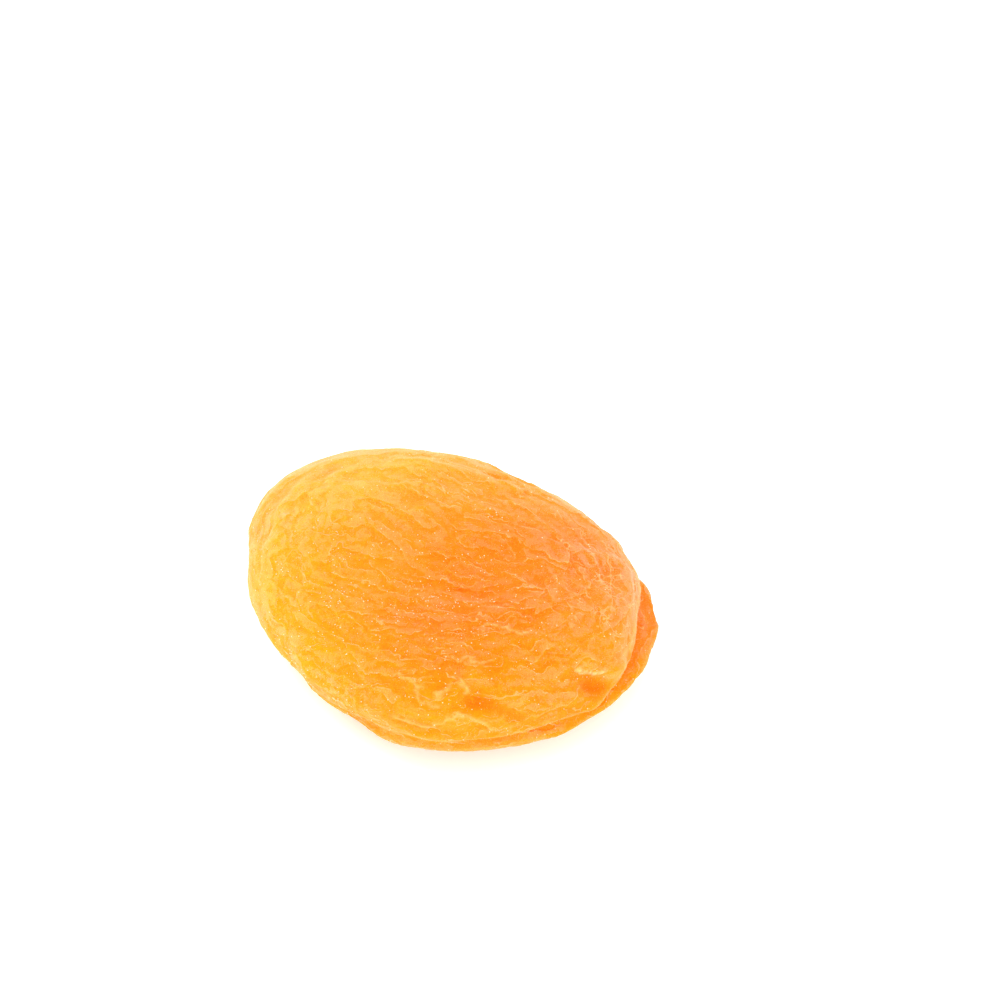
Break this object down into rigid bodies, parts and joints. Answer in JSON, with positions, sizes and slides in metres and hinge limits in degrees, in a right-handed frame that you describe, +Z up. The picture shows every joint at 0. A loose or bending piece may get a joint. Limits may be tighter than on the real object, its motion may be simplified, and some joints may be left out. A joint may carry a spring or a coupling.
{
  "type": "dried apricot",
  "caption": "Whole pitted dried apricot: a flattened, wrinkled orange fruit with a seam round its side and an open stem end, lying on its underside.",
  "frame": {"origin": "middle of the bounding box in plan, on the surface that the fruit lies on", "axes": "+Z up through the flattened fruit, +X towards the stem end, where the stone came out"},
  "size_m": [0.0394, 0.0352, 0.0118],
  "materials": {
    "apricot_flesh": "soft, slightly translucent dried fruit skin with a dull sheen and short pale down"
  },
  "bodies": {
    "root": {"dried_apricot": "apricot_flesh"}
  },
  "joints": []
}
